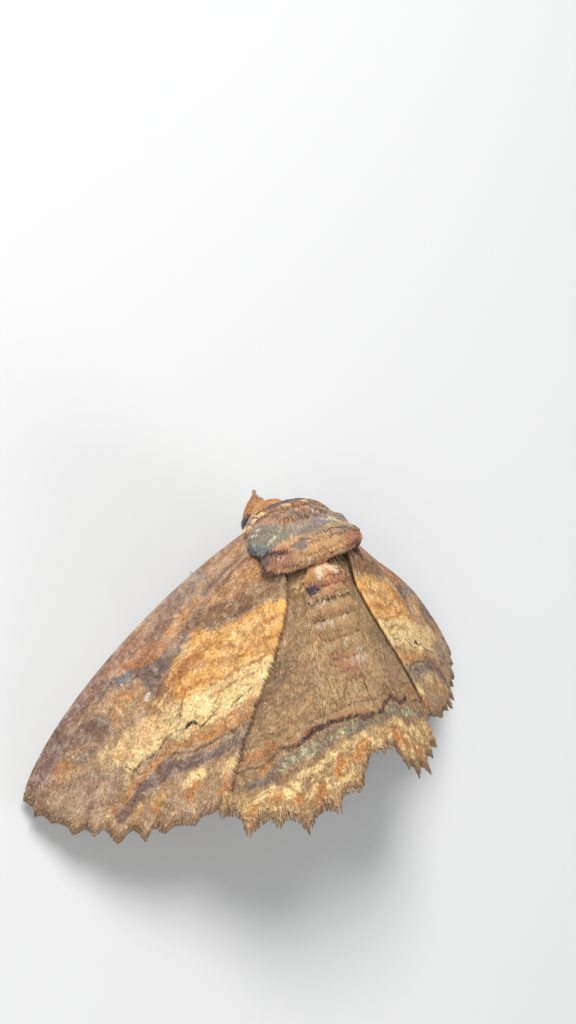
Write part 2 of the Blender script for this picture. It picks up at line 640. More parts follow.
feeler_finish = scaly("feeler_scales", 14000.0, 0.6, 0.12, 0.03)
for side, node in ((1, "antenna_left"), (-1, "antenna_right")):
    route = [spot(side, *stop) for stop in FEELER_STOPS]
    feeler = drawn_thread(node + "_thread", route, feeler_radius, FEELER_RINGS * 4, 2)
    spots = points_of(feeler.data)
    share = np.clip((spots[:, 1] - spots[:, 1].min()) / np.ptp(spots[:, 1]), 0, 1)
    ringed = ramp(np.sin(share * 2 * pi * FEELER_RINGS * 0.9), 0.2, 0.8)
    marks = laid(linear("bark"), ("buff", 0.55 * ringed), ("bone", 0.3 * (1 - share)))
    store(feeler.data, "mark", marks, "FLOAT_COLOR")
    dressed(feeler, feeler_finish)
    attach(feeler, "root")
    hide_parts(node)


# ---------------------------------------------------------------- claws and spurs
# Every foot ends in two small hooked claws, and long pale spurs stand below the shin: a pair on
# each middle leg and two pairs on each hind leg. They are curved cones of horn.

CLAW_LENGTH, CLAW_THICK, CLAW_FLOOR = 0.42, 0.06, 0.05
SPUR_LENGTH, SPUR_THICK, SPUR_FLOOR = 1.25, 0.085, 0.12
# Each spur: its leg, how far down the shin, its share of the length, and to which side it turns
SPURS = (("midleg", 0.97, 1.0, 0.5), ("midleg", 0.93, 0.7, -0.5), ("hindleg", 0.97, 1.0, 0.5),
         ("hindleg", 0.93, 0.75, -0.5), ("hindleg", 0.55, 1.1, 0.5), ("hindleg", 0.51, 0.8, -0.5))


def horn_cone(name, root, tip, bow, thick):
    """A closed cone from root to tip, whose middle stands by bow above the straight line."""
    middle = (root + tip) / 2 + Vector((0, 0, bow))
    return drawn_thread(name, (root, middle, tip), lambda t: thick * (1.02 - t), 8, 1)


horns = []
for side in (1, -1):
    for kind, stops in LEG_STOPS.items():
        ankle, toe = (Vector((side * x, y + AFT_SHIFT, z)) for x, y, z in stops[2:])
        run = (toe - ankle).normalized()
        outward = run.cross(Vector((0, 0, 1))).normalized()
        for spread in (outward, -outward):
            root = toe + spread * 0.08 - run * 0.05
            tip = toe + run * CLAW_LENGTH * 0.8 + spread * 0.26
            tip.z = CLAW_FLOOR
            horns.append(horn_cone("claw", root, tip, 0.16, CLAW_THICK))
    for kind, share, scale, turned in SPURS:
        knee, ankle = (Vector((side * x, y + AFT_SHIFT, z)) for x, y, z in LEG_STOPS[kind][1:3])
        run = (ankle - knee).normalized()
        root = knee.lerp(ankle, share)
        aside = Vector((side * turned, 0.5, 0))
        tip = root + (run * 0.8 + aside * 0.6).normalized() * SPUR_LENGTH * scale
        tip.z = max(tip.z, SPUR_FLOOR)
        horns.append(horn_cone("spur", root, tip, -0.05, SPUR_THICK))
only(*horns)
bpy.ops.object.join()
horn = bpy.context.active_object
horn.name = "claws_and_spurs"
horn.data.name = "claws_and_spurs"
heights = points_of(horn.data)[:, 2]
marks = laid(linear("bark"), ("bone", 0.7 * ramp(heights, 0.3, 1.2)))
store(horn.data, "mark", marks, "FLOAT_COLOR")
dressed(horn, scaly("horn", 12000.0, 0.45, 0.0, 0.02))
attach(horn, "root")


# ---------------------------------------------------------------- the coat of the body
# A dense pile of flattened hair-like scales covers everything but the eyes. One lock of it is
# modelled, tapered and bowed, and its copies are combed over the skin in the direction in which
# the moth's own pile lies: aft on the trunk, forwards on the face, and down each limb to the foot.

PATCH = 0.003            # the width of a lock's own patch in the map that the coat is baked to
CLEARANCE = 0.02         # of the lowest lock over the floor
TRIES = 3                # random places that are tried for each one that is wanted
SCATTER_SEED, PILE_SEED, LOCK_SEED = 40, 60, 80
COLLAR_FRONT = -2.2      # aft of which the collar's pile lies flat, and ahead of it stands up
LASH_REACH, LASH_GROWTH, LASH_LIFT = 1.6, 2.5, radians(26)   # of the collar's pile round the eye


def drawn_lock(*stations):
    """One lock: a flat triangle drawn out along +Y through the stations, each (how far along,
    half width, half thickness, rise). Returns its vertices and triangles."""
    bpy.ops.object.select_all(action="DESELECT")
    bpy.ops.mesh.primitive_circle_add(vertices=3, radius=1.0, fill_type="NGON")
    lock = bpy.context.active_object
    bpy.ops.object.mode_set(mode="EDIT")
    shape = bmesh.from_edit_mesh(lock.data)
    for vert in shape.verts:
        vert.co = (vert.co.x, 0.0, vert.co.y)
    last = (0.0, 1.0, 1.0, 0.0)
    for number, station in enumerate(stations):
        if number:
            bpy.ops.mesh.extrude_region_move(TRANSFORM_OT_translate={"value": (0, 1e-3, 0)})
        shape = bmesh.from_edit_mesh(lock.data)
        for vert in shape.verts:
            if vert.select:
                vert.co = (vert.co.x / last[1] * station[1], station[0],
                           (vert.co.z - last[3]) / last[2] * station[2] + station[3])
        last = station
    bmesh.update_edit_mesh(lock.data)
    bpy.ops.mesh.select_all(action="SELECT")
    bpy.ops.mesh.remove_doubles(threshold=MERGE)
    bpy.ops.mesh.quads_convert_to_tris()
    bpy.ops.mesh.normals_make_consistent(inside=False)
    bpy.ops.object.mode_set(mode="OBJECT")
    verts = points_of(lock.data)
    tris = np.array([list(face.vertices) for face in lock.data.polygons])
    bpy.data.objects.remove(lock)
    return verts, tris


# A flat hair-like scale whose tip bends back to the skin: (along, half width, half thickness,
# rise), as shares of its length or width
HAIR_LOCK = drawn_lock((0.0, 0.3, 0.16, 0.0), (0.7, 0.5, 0.16, -0.1), (1.0, 0.26, 0.06, -0.4))
OVERHANG = Vector((0.0, 1.0, -0.25)).normalized()   # the way in which the crests stand out aft


def combed(name, lock, roots, normals, lies, lengths, widths, lifts, marks, spots, finish,
           seed, smooth=True):
    """One piece of coat: a copy of the lock on every root, leaning along its lie."""
    rng = np.random.default_rng(seed)
    verts, tris = lock
    count = len(roots)
    lies = unit(lies - dot(lies, normals)[:, None] * normals)
    lean, upright = np.cos(lifts)[:, None], np.sin(lifts)[:, None]
    forward = lies * lean + normals * upright
    up = normals * lean - lies * upright
    right = np.cross(forward, up)
    tilt = rng.normal(0.0, 0.15, count)[:, None]
    right, up = right * np.cos(tilt) + up * np.sin(tilt), up * np.cos(tilt) - right * np.sin(tilt)
    x, y, z = (verts[:, k][None, :, None] for k in range(3))
    long, wide = lengths[:, None, None], widths[:, None, None]
    spots3 = (roots[:, None] + x * wide * right[:, None] + y * long * forward[:, None]
              + z * wide * up[:, None])
    spots3[:, :, 2] = np.maximum(spots3[:, :, 2], CLEARANCE)
    mesh = bpy.data.meshes.new(name)
    faces = (tris[None] + (np.arange(count) * len(verts))[:, None, None]).reshape(-1, 3)
    mesh.from_pydata(spots3.reshape(-1, 3) * MM, [], faces)
    mesh.update()
    store(mesh, "mark", np.repeat(marks, len(verts), axis=0), "FLOAT_COLOR")
    store(mesh, "grain", np.repeat(rng.random(count), len(verts)), "FLOAT")
    store(mesh, "along", np.tile(verts[:, 1], count), "FLOAT")
    own = np.column_stack([verts[:, 0], verts[:, 1] - 0.5]) * PATCH
    places = (spots[:, None] + own[None]).reshape(-1, 2)
    layer = mesh.uv_layers.new(name="OFBake")
    layer.data.foreach_set("uv", places[faces.ravel()].astype(np.float32).ravel())
    piece = linked(name, mesh)
    if smooth:
        mesh.shade_smooth()
    mesh.materials.append(finish)
    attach(piece, "root")


def mixed(values, weights):
    """Values at places on triangles, from those at the three corners of each."""
    return (values * weights[:, :, None]).sum(axis=1)


def one_each(places, spacing):
    """Which of the places to keep, so that no cell of a grid has more than one."""
    _, first = np.unique(np.floor(places / spacing).astype(int), axis=0, return_index=True)
    first.sort()
    return first


def scattered(tris_here, spacing, seed):
    """Even random places on part of the skin: their corners and their weights on these."""
    rng = np.random.default_rng(seed)
    a, b, c = (skin_places[skin_tris[tris_here, k]] for k in range(3))
    areas = np.linalg.norm(np.cross(b - a, c - a), axis=1) / 2
    tries = int(areas.sum() / spacing ** 2 * TRIES)
    picked = rng.choice(len(tris_here), tries, p=areas / areas.sum())
    u, v = rng.random(tries), rng.random(tries)
    flip = u + v > 1
    u[flip], v[flip] = 1 - u[flip], 1 - v[flip]
    weights = np.column_stack([1 - u - v, u, v])
    picked = tris_here[picked]
    kept = one_each(mixed(skin_places[skin_tris[picked]], weights) + spacing / 2, spacing)
    return picked[kept], weights[kept]


def body_lies(places, kinds):
    """Which way the pile lies at each place of the body."""
    across, aft, below = body_plan(places)
    none = 0.0 * across
    lies = np.column_stack([0.12 * across, none + 1.0, none - 0.15])
    for here, lie in (
        (kinds == "tegula", (0.12 * across + 0.35 * np.sign(across), none + 1.0, none - 0.35)),
        (kinds == "head", (0.3 * across, none - 0.8, 0.5 - 0.4 * (below - 4.5))),
        ((kinds == "collar") & (aft < COLLAR_FRONT), (0.1 * across, none + 0.4, none + 0.9)),
        (kinds == "palp", (none, none - 0.75, none + 0.8)),
    ):
        lies[here] = np.column_stack(lie)[here]
    for name in LEG_STOPS:
        here = kinds == name
        if here.any():
            lies[here] = along_leg(name, places[here])[1]
    return lies


# Each coat: regions, slot, spacing, length, width and lift of its locks
COATS = {
    "thorax_coat": (("thorax",), "thorax_scales", 0.132, 0.36, 0.13, 5),
    "collar_coat": (("collar",), "collar_scales", 0.095, 0.3, 0.12, 5),
    "tegula_coat": (("tegula",), "tegula_scales", 0.09, 0.3, 0.12, 4),
    "crest_coat": (("crest", "tuft"), "crest_scales", 0.09, 0.34, 0.12, 4),
    "head_coat": (("head", "palp"), "head_scales", 0.09, 0.22, 0.09, 6),
    "abdomen_coat": (("abdomen",), "abdomen_scales", 0.11, 0.34, 0.13, 4),
    "leg_coat": (("foreleg", "midleg", "hindleg"), "leg_scales", 0.165, 0.3, 0.12, 8),
}
pile_finish = scaly("pile", "tuft", 0.66, 0.12, 0.03, root_shade=0.12, contrast=0.6)
tri_kinds = kinds[skin_tris[:, 0]]
for number, (name, (regions, slot_name, spacing, length, width, lift)) in enumerate(COATS.items()):
    own_tris = np.flatnonzero(np.isin(tri_kinds, regions))
    picked, weights = scattered(own_tris, spacing, SCATTER_SEED + number)
    corners = skin_tris[picked]
    roots = mixed(skin_places[corners], weights)
    normals = unit(mixed(skin_normals[corners], weights))
    own_kinds = kinds[corners[:, 0]]
    count = len(roots)
    rng = np.random.default_rng(PILE_SEED + number)
    lies = body_lies(roots, own_kinds) + rng.normal(0.0, 0.09, roots.shape)
    # On the front of the thorax the pile hangs down
    lies[:, 2] -= 1.6 * ramp(-normals[:, 1], 0.45, 0.8) * (own_kinds == "thorax")
    lengths = length * rng.uniform(0.75, 1.25, count)
    lifts = radians(lift) + rng.normal(0.0, radians(2.5), count)
    widths = width * rng.uniform(0.85, 1.15, count)
    if name == "crest_coat":
        # The hind edges of crest and tuft stand out aft, longer on the left end
        brim = (normals[:, 1] > 0.45) & (normals[:, 1] < 0.95) & (normals[:, 2] > 0.05)
        lies[brim] = OVERHANG
        reach = 0.45 + 0.35 * (own_kinds == "tuft") + 0.3 * ramp(roots[:, 0], 4.0, 4.6)
        lengths[brim] = (reach * rng.uniform(0.94, 1.06, count))[brim]
        lifts[brim] = np.arcsin(np.clip(normals[brim] @ np.array(OVERHANG), -0.1, 0.95))
    elif name == "collar_coat":
        # Longer pile closes round the eyes
        sides = np.column_stack([np.sign(roots[:, 0]), np.ones((count, 2))])
        to_eye = np.array(spot(1, *EYE_CENTRE)) * sides - roots
        lash = np.linalg.norm(to_eye, axis=1) < LASH_REACH
        lies[lash] = to_eye[lash]
        lengths[lash] *= LASH_GROWTH
        lifts[lash] += LASH_LIFT
    elif name == "head_coat":
        on_palp = own_kinds == "palp"
        lengths[on_palp] *= 0.7
        widths[on_palp] *= 0.75
    elif name == "leg_coat":
        # Shaggy thighs, close feet, and nothing that points down at the floor
        share = np.zeros(count)
        for kind in LEG_STOPS:
            here = own_kinds == kind
            share[here] = along_leg(kind, roots[here])[0]
        lengths *= 1.25 - 0.6 * ramp(share, 0.55, 0.85)
        lifts *= 1.3 - ramp(share, 0.5, 0.8)
        low = roots[:, 2] < 0.25
        lies[low, 2] = np.abs(lies[low, 2]) * 0.2
    combed(name, HAIR_LOCK, roots, normals, lies, lengths, widths, lifts,
           body_colours(roots, own_kinds, normals), mixed(skin_uvs[picked], weights), pile_finish,
           LOCK_SEED + number)


# ---------------------------------------------------------------- the membranes of the wings
# Each wing is a dry membrane, far thinner than paper, stretched over veins that end in the teeth
# of its scalloped edge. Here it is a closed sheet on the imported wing's own curves, ribbed along
# the veins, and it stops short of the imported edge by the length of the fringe.

ROOF_SLOPE = radians(32.9)  # of each wing, down and outwards from the ridge
BELLY, WING_REACH = 0.3, 25.0    # how far the wing bows up, over its whole reach
HUG, HUG_REACH, HUG_LENGTH = 0.8, 2.6, 11.0   # of the wing's sag beside the body
COSTA_BAND = 0.16        # share of the wing that droops along its front edge
ROLL_BAND, ROLL_RISE, ROLL_FADE = 0.6, 0.2, (0.3, 0.75)   # of the roll down beside the thorax
VEIN_RISE, VEIN_WIDTH = 0.05, 0.09
WARP, WARP_SPAN = 0.18, 4.0
NOTCH_AT, NOTCH_WIDTH = 0.935, 0.025   # of the gap before the hindwing's last lobe
TEAR_AT, TEAR_WIDTH = 0.22, 0.09       # of the piece that is worn away on one side
MEMBRANE = 0.14          # thickness of a sheet
SHEET_ROWS, SHEET_COLUMNS = 120, 110
# Each wing on its own plane, (out from the ridge, aft): its front, outer and inner edge as curves,
# then how its outer edge is scalloped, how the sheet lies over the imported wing, and its fringe
FORE = {
    "costa": ((3.0, -2.0), (8.5, -1.5), (21.8, 6.1), (24.7, 11.2)),
    "termen": ((24.7, 11.2), (23.4, 14.6), (17.0, 17.0), (12.3, 15.8)),
    "inner": ((3.4, 1.0), (4.6, 6.5), (9.0, 9.5), (12.3, 15.8)),
    "teeth": 9.5, "first": -0.55, "tooth": 0.95, "tooth_rise": (0.3, 0.5),
    "tooth_fall": (0.66, 0.8), "least": 0.35, "blunt": 1.5, "full": 0.0, "torn": 0.0, "start": 0.05,
    "level": 0.12, "droop": 0.55, "roll": 2.1, "sink": 0.9, "settle": 0.42, "pleat": 0.04,
    "fringe": 0.034, "split": 0.12, "seed": 38,
}
HIND = {
    "costa": ((2.6, 0.6), (7.5, 3.2), (12.8, 9.0), (14.6, 13.6)),
    "termen": ((14.6, 13.6), (11.8, 19.3), (5.5, 20.2), (0.33, 15.2)),
    "inner": ((1.6, 2.4), (1.0, 6.0), (0.35, 10.5), (0.33, 15.2)),
    "teeth": 8, "first": -0.15, "tooth": 1.0, "tooth_rise": (0.0, 0.15),
    "tooth_fall": (0.86, 0.94), "least": 0.3, "blunt": 0.9, "full": 0.38, "torn": 0.0, "start": 0.0,
    "level": -0.46, "droop": 0.0, "roll": 0.0, "sink": 0.0, "settle": 0.0, "pleat": 0.07,
    "fringe": 0.05, "split": 0.5, "seed": 49,
}
# The right wings: the hindwing is torn, and the forewing has a darker shoulder
HIND_WORN = dict(HIND, torn=0.9, seed=51)
FORE_SHADED = dict(FORE, seed=43, extra=(
    ("maroon", 0.55, 0.7, 0.95, 0.0, ((4.5, 1.2), (5.6, 2.5))),
    ("umber", 0.9, 0.9, 0.85, 0.4, ((4.0, 2.4), (5.2, 3.2), (6.4, 3.6))),
))
WINGS = (("forewing", "left", 1, FORE), ("forewing", "right", -1, FORE_SHADED),
         ("hindwing", "left", 1, HIND), ("hindwing", "right", -1, HIND_WORN))


def bezier(points, t):
    """Points at t on a cubic curve with four control points."""
    t = np.asarray(t)[..., None]
    s = 1.0 - t
    a, b, c, d = (np.array(p) for p in points)
    return s ** 3 * a + 3 * s * s * t * b + 3 * s * t * t * c + t ** 3 * d


def scalloped(wing, t):
    """Points on a wing's outer edge, which stands out in a tooth at the end of each vein."""
    points = wing["termen"]
    along = bezier(points, np.minimum(1, t + 1e-3)) - bezier(points, np.maximum(0, t - 1e-3))
    outward = unit(np.stack([-along[..., 1], along[..., 0]], axis=-1))
    count = wing["teeth"] * (t + 0.012 * np.sin(23.0 * t + wing["teeth"])) + wing["first"]
    peak = 1.0 - np.abs(np.cos(pi * count)) ** wing["blunt"]
    peak = peak * (0.8 + 0.35 * np.sin(9.0 * np.floor(count) + 2.0)) - 0.35
    swell = ramp(t, *wing["tooth_rise"]) * (1.0 - ramp(t, *wing["tooth_fall"]))
    swell = wing["tooth"] * peak * (wing["least"] + (1.0 - wing["least"]) * swell)
    swell = swell + wing["full"] * (ramp(t, 0.5, 0.6) * (1.0 - ramp(t, 0.85, 0.92)))
    swell = swell - wing["full"] * np.exp(-((t - NOTCH_AT) / NOTCH_WIDTH) ** 2)
    swell = swell + 0.8 * wing["full"] * ramp(t, 0.95, 1.0)
    swell = swell - wing["torn"] * np.exp(-((t - TEAR_AT) / TEAR_WIDTH) ** 2)
    return bezier(points, t) - outward * swell[..., None]


def blend(a, b, share):
    return a + (b - a) * np.asarray(share)[..., None]


def wing_plan(wing, s, t):
    """(out, aft) in a wing's plane, for s from root to edge and t from costa to inner margin."""
    costa, inner = wing["costa"], wing["inner"]
    root = blend(np.array(costa[0]), np.array(inner[0]), t)
    tip = blend(np.array(costa[3]), np.array(inner[3]), t)
    sides = blend(bezier(costa, s), bezier(inner, s), t)
    return sides + blend(root, scalloped(wing, t), s) - blend(root, tip, s)


def off_vein(wing, t):
    """How far a place lies from the nearest vein, as a share of the space between veins."""
    vein = t * wing["teeth"] + wing["first"] - 0.5
    return vein - np.round(vein)


def wing_surface(wing, side, s, t, raised=0.0):
    """Places on a wing in the large frame, with its veins and pleats, raised along its normal."""
    plan = wing_plan(wing, s, t)
    out, aft = plan[..., 0], plan[..., 1]
    aside = off_vein(wing, t)
    relief = VEIN_RISE * np.exp(-(aside / VEIN_WIDTH) ** 2) * (0.4 + 0.6 * ramp(s, 0.25, 0.7))
    relief = relief + wing["pleat"] * np.cos(2 * pi * aside) * ramp(s, 0.6, 0.95)
    relief = relief + WARP * (ripple(out / WARP_SPAN + 7, aft / WARP_SPAN, 11) - 0.5)
    level = wing["level"] + relief - wing["droop"] * np.maximum(0, 1 - t / COSTA_BAND) ** 2
    grow = ramp(s, 0.0, ROLL_RISE) * (1.0 - ramp(s, *ROLL_FADE))
    level = level - wing["roll"] * grow * np.maximum(0, 1 - t / ROLL_BAND) ** 2
    level = level - wing["sink"] * (1.0 - ramp(s, 0.06, 0.17)) * (1.0 - ramp(t, 0.4, 0.9))
    level = level - wing["settle"] * ramp(t, 0.6, 1.0) * ramp(s, 0.0, 0.2) + raised
    level = level + BELLY * np.sin(pi * np.minimum(1.0, out / WING_REACH))
    hug = HUG * np.exp(-(out / HUG_REACH) ** 2) * np.exp(-(np.maximum(0, aft) / HUG_LENGTH) ** 4)
    across = out * cos(ROOF_SLOPE) + level * sin(ROOF_SLOPE)
    below = out * sin(ROOF_SLOPE) - level * cos(ROOF_SLOPE) + hug
    return np.stack([side * across, aft + AFT_SHIFT, RIDGE_HEIGHT - below], axis=-1)


# The pattern of the upper sides, as strokes on each wing's plane, (out from the ridge, aft)
FORE_MARKS = (
    ("rust", 1.5, 0.8, 0.75, 0.3, ((4, 0.8), (7, 1.6), (9.5, 2.5), (12, 3.4), (15, 5))),
    ("rosewood", 0.85, 0.7, 0.85, 0.3, ((4.8, -1.5), (6.8, -0.8), (9, 0.2))),
    ("mauve", 0.8, 0.6, 0.85, 0.3, ((9.2, 0.5), (10.5, 1.1), (12, 1.9))),
    ("cocoa", 1, 0.7, 0.9, 0.3, ((12.6, 2.5), (14.5, 3.5), (17, 4.9), (19.5, 6.4))),
    ("dust", 1.3, 0.8, 0.8, 0.4, ((15.5, 3.6), (18.5, 5.4), (21, 7.3), (23.6, 10))),
    ("mauve", 0.3, 0.7, 0.8, 0.3, ((7.2, 0.7), (8.6, 1.3), (9.8, 2.4), (10.8, 3.6), (11.6, 4.4))),
    ("umber", 0.2, 0.7, 0.9, 0.7, ((5.4, 0.2), (6.5, 0.7), (7.5, 1.3), (8.3, 1.8))),
    ("ochre", 0.55, 0.8, 0.85, 0.3, ((5.2, 1.2), (6.8, 1.6), (8.2, 2.2), (9.2, 2.6))),
    ("ochre", 0.3, 0.8, 0.75, 0.5, ((5, -1.3), (6.4, -0.8), (7.8, -0.2), (9, 0.4))),
    ("ochre", 0.5, 0.7, 0.8, 0.3, ((9.8, 2.2), (11, 2.9), (12.2, 3.6))),
    ("umber", 0.7, 0.35, 1, 0.25, ((6.8, 3.2), (8.2, 3.35), (9.4, 3.45), (10.5, 3.65))),
    ("umber", 0.4, 0.7, 0.6, 0.4, ((4.6, 3.1), (6.8, 3.2))),
    ("line", 0.09, 0.7, 0.7, 0.6, ((6.6, 3), (7.6, 2.75), (8.6, 3.1), (9.6, 3), (10.6, 3.3))),
    ("line", 0.08, 0.7, 0.6, 0.6, ((6.2, 3.6), (7.8, 3.85), (9.2, 3.95), (10.2, 4))),
    ("line", 0.09, 0.7, 0.7, 0.6, ((4.9, -0.6), (6.2, 0.1), (7.2, 0.6), (8.4, 1.2), (9.4, 1.9))),
    ("rust", 0.5, 0.9, 0.6, 1.1, ((13, 2.6), (16, 4.2), (18.6, 5.8))),
    ("plum", 0.7, 0.9, 0.4, 0.3, ((19.6, 6.4), (21.4, 7.9), (22.6, 9))),
    ("rust", 0.75, 0.6, 0.85, 0.45, ((12.2, 4.3), (13.5, 4.8), (15.2, 5), (16.4, 5.2))),
    ("gold", 1.95, 0.25, 1, 0, ((5.2, 5.4), (8, 6.1), (10.2, 6.4), (11.8, 7.2))),
    ("cream", 0.7, 0.9, 0.5, 0.5, ((5.6, 4.9), (7.4, 5.5), (9.4, 6.6))),
    ("gold", 0.8, 0.4, 0.9, 0.1, ((10.5, 4.7), (11.3, 5.6), (12.6, 7.2))),
    ("cream", 1.5, 0.45, 0.95, 0.15, ((7, 8), (9.5, 8.7), (11.5, 9.1), (13.2, 9.6))),
    ("cream", 0.35, 0.8, 0.6, 0.3, ((6, 4.5), (7.4, 4.8), (8.6, 5.3))),
    ("ivory", 0.8, 0.9, 0.6, 0.3, ((10.8, 8.4), (12.2, 9))),
    ("wheat", 0.9, 0.9, 0.8, 0.3, ((13.6, 8.6), (14.8, 9.6))),
    ("amber", 0.24, 0.8, 0.95, 0.3, ((5, 4.7), (6.2, 4.9), (7.2, 5.45), (8, 5.9), (9, 5.6), (10, 5.35),
        (11, 5.55), (12.2, 5.9))),
    ("amber", 0.22, 0.8, 0.95, 0.3, ((5.6, 5.9), (7, 6.1), (7.9, 6.55), (9, 6.4), (10.3, 6.2),
        (11.5, 6.4), (13, 6.8))),
    ("amber", 0.2, 0.8, 0.9, 0.35, ((6.4, 7.1), (8.4, 7.35), (9.6, 7.65), (10.6, 7.3), (12, 7.4),
        (13, 7.8))),
    ("amber", 0.16, 0.8, 0.75, 0.4, ((7.6, 8), (9.4, 8.2), (11, 8.45))),
    ("rust", 0.6, 0.8, 0.85, 0.25, ((10.9, 5.8), (12, 6.2), (13.1, 6.9), (13.9, 7.8))),
    ("plum", 0.13, 0.8, 0.8, 0.2, ((11, 3.8), (12.05, 4.9), (12.8, 5.9), (13.8, 7), (14.9, 8.6))),
    ("slate", 0.75, 0.45, 0.95, 0.15, ((13.3, 5.7), (14.4, 6.2))),
    ("plum", 0.5, 0.6, 0.85, 0.15, ((13.9, 6.4), (14.6, 7.1))),
    ("slate", 0.45, 0.6, 0.8, 0.3, ((12.3, 4.9), (13.3, 5.6), (15.2, 5.75))),
    ("plum", 0.42, 0.7, 0.75, 0.2, ((15.4, 5.7), (16.6, 5.7), (17.9, 6.2))),
    ("blue", 0.36, 0.6, 0.95, 0.1, ((15.6, 5.6), (16.5, 5.8))),
    ("gold", 0.85, 0.6, 0.9, 0.5, ((15.3, 7.1), (16.6, 7.5), (17.3, 8.2))),
    ("orange", 0.4, 0.8, 0.45, 0.4, ((15.1, 6.4), (16.2, 6.6), (17.4, 6.8))),
    ("cream", 0.32, 0.8, 0.85, 0.3, ((16.2, 7.4), (16.7, 7.8))),
    ("moss", 0.32, 0.7, 0.8, 0.2, ((18.3, 7.5), (18.8, 7.9))),
    ("chalk", 0.24, 0.5, 1, 0.1, ((14.72, 7.15), (14.92, 7.4))),
    ("ochre", 0.7, 0.7, 0.8, 0.3, ((14.3, 8), (15.4, 9.2))),
    ("wheat", 1.45, 0.7, 0.85, 0.4, ((15.2, 9.6), (17, 10), (18.5, 10.1))),
    ("cream", 0.5, 0.8, 0.6, 0.5, ((18, 9.4), (18.9, 10.1))),
    ("cream", 0.45, 0.8, 0.7, 0.3, ((14.5, 10.2), (16.2, 10.7), (17.6, 11.6), (17.9, 12.3))),
    ("plum", 0.8, 0.8, 0.8, 0.3, ((18.7, 7.8), (20, 8.5), (21.4, 8.8), (22.8, 9.8))),
    ("plum", 0.3, 0.7, 0.8, 0.2, ((17.9, 7.9), (19.3, 9.3), (20.5, 9.9))),
    ("orange", 0.38, 0.7, 0.75, 0.3, ((21.2, 9.9), (22.6, 10.2))),
    ("dust", 1.2, 0.8, 0.8, 0.2, ((22.6, 9.4), (23.9, 11.2))),
    ("plum", 1, 0.9, 0.45, 0.2, ((22.8, 9.2), (24.2, 11.2))),
    ("buff", 1.7, 0.6, 0.9, 0.2, ((18.8, 12), (21, 12), (22.8, 12.3))),
    ("rosewood", 0.35, 0.7, 0.7, 0.1, ((22.5, 11), (22.9, 11.1))),
    ("ochre", 0.4, 0.8, 0.6, 0.4, ((20, 10.4), (21.6, 10.6))),
    ("ochre", 0.8, 0.8, 0.8, 0.3, ((8.8, 10.1), (10.5, 10.5), (12.5, 10.6))),
    ("line", 0.075, 0.6, 0.85, 0.3, ((8.2, 8.9), (9.4, 9.35), (10.2, 9.7))),
    ("line", 0.075, 0.6, 0.9, 0.25, ((10.6, 9.2), (11.5, 9.85), (12.1, 10.2), (12.35, 9.8))),
    ("black", 0.17, 0.6, 1, 0, ((12.3, 9.85), (12.6, 9.68), (12.9, 9.95))),
    ("line", 0.075, 0.6, 0.9, 0.2, ((12.9, 10), (13.6, 10.1), (15, 10.75), (16.1, 11.2), (17, 11.5),
        (17.5, 11.3))),
    ("line", 0.06, 0.6, 0.8, 0.7, ((12.3, 7.5), (12.8, 8.4), (13.1, 9.1), (13.3, 9.7))),
    ("ivory", 0.07, 0.6, 0.7, 0.1, ((13.1, 7.1), (14.1, 8.1), (14.9, 9.1))),
    ("rust", 0.14, 0.7, 0.8, 0.3, ((8.2, 9.6), (9.2, 9.9), (10.2, 10.1))),
    ("orange", 0.34, 0.6, 0.65, 0.2, ((9, 10.7), (10.2, 10.75), (13, 10.95), (14.3, 11), (15.7, 11.7),
        (17.5, 12.7), (18.3, 13.3))),
    ("line", 0.14, 0.7, 0.85, 0.2, ((9.2, 11.15), (11, 11.25), (12.9, 11.45), (14.3, 11.4),
        (15.8, 12.15), (17.4, 13))),
    ("slate", 0.5, 0.45, 0.95, 0.2, ((9.8, 11.9), (11.5, 12.05), (13.5, 12.1), (15, 12.35))),
    ("plum", 0.5, 0.45, 0.95, 0.1, ((14.7, 12), (16.3, 12.75), (17.6, 13.5), (18.9, 14.4))),
    ("blue", 0.3, 0.8, 0.5, 0.6, ((11.3, 11.9), (12.5, 12.2), (14, 12.4))),
    ("plum", 0.4, 0.7, 0.7, 0.2, ((9.8, 12), (10.6, 12.8))),
    ("plum", 0.34, 0.7, 0.55, 0.3, ((11, 11.9), (12.4, 12), (13.8, 12.1))),
    ("tan", 1.3, 0.5, 0.9, 0.1, ((10.8, 13.9), (12.5, 14.2), (14.5, 14.6), (16.8, 15))),
    ("cream", 0.45, 0.8, 0.9, 0.35, ((12.6, 13.1), (13.6, 13.1), (14.1, 13.5))),
    ("orange", 0.4, 0.8, 0.85, 0.35, ((13.5, 13.7), (14.2, 14.4))),
    ("cream", 0.35, 0.8, 0.8, 0.4, ((11, 13.4), (11.6, 13.9))),
    ("orange", 0.35, 0.8, 0.75, 0.4, ((11.6, 14.4), (12.2, 15))),
    ("gold", 0.34, 0.8, 0.9, 0.3, ((15.8, 13.7), (16.3, 14.4))),
    ("orange", 0.25, 0.8, 0.8, 0.3, ((16.2, 14.4), (16.5, 14.8))),
    ("gold", 0.3, 0.8, 0.85, 0.3, ((17.4, 14.2), (17.9, 14.7))),
    ("rust", 0.22, 0.8, 0.7, 0.3, ((18.9, 13.6), (19.4, 14))),
    ("cream", 0.22, 0.8, 0.6, 0.3, ((19.5, 13.9), (20, 14.1))),
)
